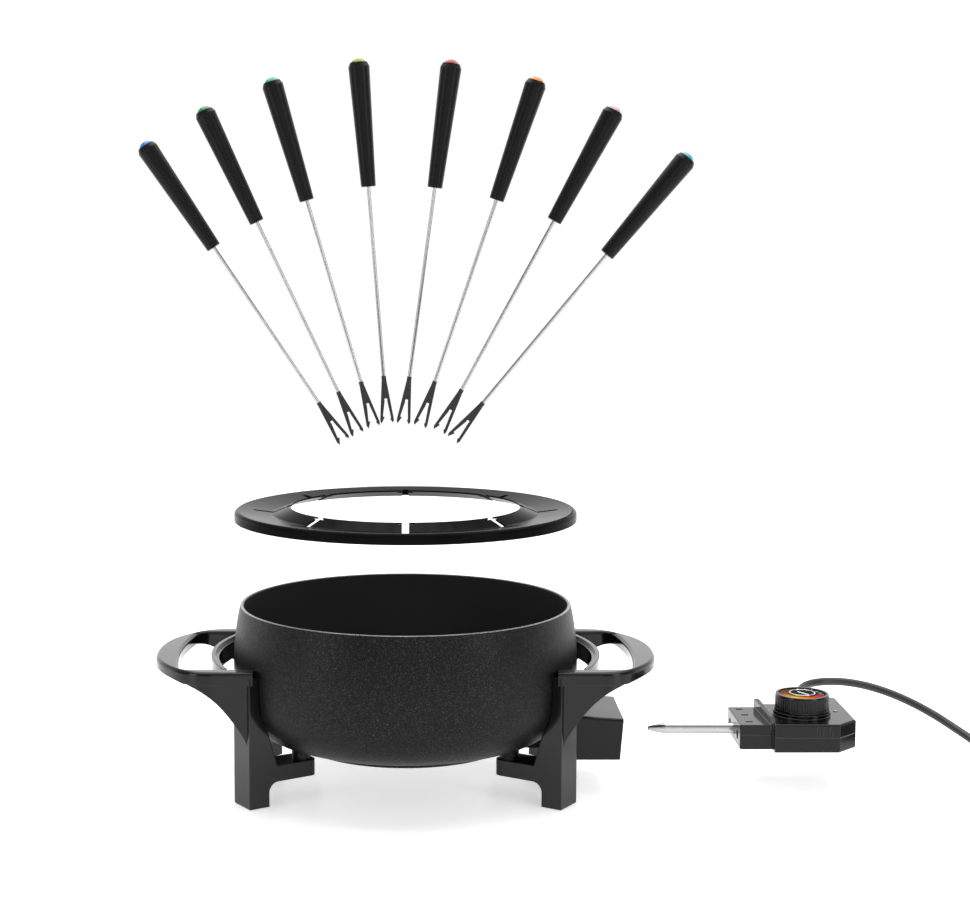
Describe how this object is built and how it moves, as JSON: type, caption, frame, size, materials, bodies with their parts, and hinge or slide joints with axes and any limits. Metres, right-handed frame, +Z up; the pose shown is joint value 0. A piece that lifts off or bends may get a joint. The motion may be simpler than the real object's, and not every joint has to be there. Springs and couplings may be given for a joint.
{
  "type": "electric fondue pot set",
  "caption": "Electric fondue pot with a lift-off fork ring, two handle brackets on legs, coloured forks and a plug-in thermostat probe with its lead.",
  "frame": {"origin": "on the pot's axis, at the surface that the legs stand on", "axes": "+Z up along the pot's axis, +X towards the mains socket and the thermostat, handles along X"},
  "size_m": [0.7079, 0.2442, 0.5049],
  "materials": {
    "pot_coating": "satin black non-stick coating with a fine speckle",
    "bracket_black": "glossy black phenolic",
    "ring_enamel": "glossy black enamel",
    "guard_black": "satin black",
    "housing_black": "glossy black",
    "dial_black": "ribbed, satin",
    "dial_colours": "printed band from yellow through orange to red",
    "chrome_trim": "polished",
    "steel": "brushed",
    "tine_coating": "satin black coating",
    "grip_black": "fine-grained",
    "brass_contact": "plain",
    "switch_body": "plain, hidden",
    "lens_amber": "dark tinted lens",
    "cord_black": "smooth sheath",
    "plug_black": "moulded",
    "cap_blue": "glossy colour mark",
    "cap_green": "glossy colour mark",
    "cap_teal": "glossy colour mark",
    "cap_lime": "glossy colour mark",
    "cap_red": "glossy colour mark",
    "cap_orange": "glossy colour mark",
    "cap_pink": "glossy colour mark",
    "cap_light_blue": "glossy colour mark"
  },
  "bodies": {
    "cooker": {"pot": "pot_coating", "heating_element": "steel", "terminal_pins": "steel", "socket_guard": "guard_black", "guard_screws": "steel", "left_bracket": "bracket_black", "right_bracket": "bracket_black", "bracket_screws": "steel"},
    "ring": {"fork_ring": "ring_enamel"},
    "thermostat": {"lower_housing": "housing_black", "upper_housing": "housing_black", "housing_screws": "steel", "probe": "steel", "contact_sockets": "brass_contact", "switch_block": "switch_body", "indicator_lens": "lens_amber", "strain_relief": "plug_black", "cord_tube": "cord_black", "cord_coil": "cord_black", "plug_body": "plug_black", "plug_pins": "steel"},
    "temperature_dial": {"dial": "dial_black", "dial_scale": "dial_colours", "dial_trim": "chrome_trim", "dial_hub": "dial_black", "dial_shaft": "steel"},
    "fork_1": {"fork_1_tines": "tine_coating", "fork_1_rod": "steel", "fork_1_handle": "grip_black", "fork_1_cap": "cap_blue"},
    "fork_2": {"fork_2_tines": "tine_coating", "fork_2_rod": "steel", "fork_2_handle": "grip_black", "fork_2_cap": "cap_green"},
    "fork_3": {"fork_3_tines": "tine_coating", "fork_3_rod": "steel", "fork_3_handle": "grip_black", "fork_3_cap": "cap_teal"},
    "fork_4": {"fork_4_tines": "tine_coating", "fork_4_rod": "steel", "fork_4_handle": "grip_black", "fork_4_cap": "cap_lime"},
    "fork_5": {"fork_5_tines": "tine_coating", "fork_5_rod": "steel", "fork_5_handle": "grip_black", "fork_5_cap": "cap_red"},
    "fork_6": {"fork_6_tines": "tine_coating", "fork_6_rod": "steel", "fork_6_handle": "grip_black", "fork_6_cap": "cap_orange"},
    "fork_7": {"fork_7_tines": "tine_coating", "fork_7_rod": "steel", "fork_7_handle": "grip_black", "fork_7_cap": "cap_pink"},
    "fork_8": {"fork_8_tines": "tine_coating", "fork_8_rod": "steel", "fork_8_handle": "grip_black", "fork_8_cap": "cap_light_blue"}
  },
  "joints": [
    {"name": "ring_lift", "type": "slide", "parent": "cooker", "child": "ring", "axis": [0, 0, -1], "range_m": [0, 0.065]},
    {"name": "thermostat_plug_in", "type": "slide", "parent": "cooker", "child": "thermostat", "axis": [-1, 0, 0], "range_m": [0, 0.095]},
    {"name": "dial_turn", "type": "hinge", "parent": "thermostat", "child": "temperature_dial", "pos_m": [0.281, 0, 0.055], "axis": [0, 0, 1], "range_deg": [0, 270]},
    {"name": "fork_1_dip", "type": "slide", "parent": "cooker", "child": "fork_1", "axis": [0.5548, 0, -0.832], "range_m": [0, 0.165]},
    {"name": "fork_2_dip", "type": "slide", "parent": "cooker", "child": "fork_2", "axis": [0.4274, 0, -0.9041], "range_m": [0, 0.165]},
    {"name": "fork_3_dip", "type": "slide", "parent": "cooker", "child": "fork_3", "axis": [0.2823, 0, -0.9593], "range_m": [0, 0.165]},
    {"name": "fork_4_dip", "type": "slide", "parent": "cooker", "child": "fork_4", "axis": [0.0785, 0, -0.9969], "range_m": [0, 0.165]},
    {"name": "fork_5_dip", "type": "slide", "parent": "cooker", "child": "fork_5", "axis": [-0.1323, 0, -0.9912], "range_m": [0, 0.165]},
    {"name": "fork_6_dip", "type": "slide", "parent": "cooker", "child": "fork_6", "axis": [-0.319, 0, -0.9478], "range_m": [0, 0.165]},
    {"name": "fork_7_dip", "type": "slide", "parent": "cooker", "child": "fork_7", "axis": [-0.4772, 0, -0.8788], "range_m": [0, 0.165]},
    {"name": "fork_8_dip", "type": "slide", "parent": "cooker", "child": "fork_8", "axis": [-0.6374, 0, -0.7705], "range_m": [0, 0.165]}
  ]
}
